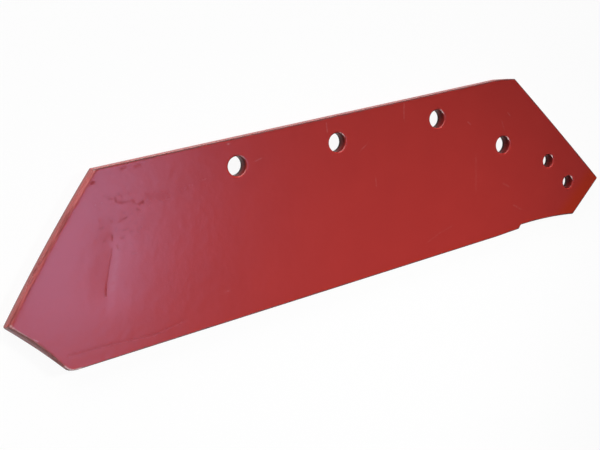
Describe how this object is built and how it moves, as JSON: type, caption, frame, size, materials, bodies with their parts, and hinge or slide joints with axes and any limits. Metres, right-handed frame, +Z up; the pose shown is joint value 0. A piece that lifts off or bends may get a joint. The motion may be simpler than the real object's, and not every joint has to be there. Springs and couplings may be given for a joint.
{
  "type": "plough share",
  "caption": "Flat red plough share with a slanted nose, a cropped wing, a tapered cutting edge with a recess for the point, and round bolt holes.",
  "frame": {"origin": "middle of the footprint, on the flat back face that the share lies on", "axes": "+Z up out of the painted front face, +Y towards the straight bolt edge, +X towards the nose that carries the point"},
  "size_m": [0.613, 0.1514, 0.011],
  "materials": {
    "red_painted_steel": "glossy red paint over sheared and ground steel, with the wing cut left partly bare"
  },
  "bodies": {
    "root": {"plough_share": "red_painted_steel"}
  },
  "joints": []
}
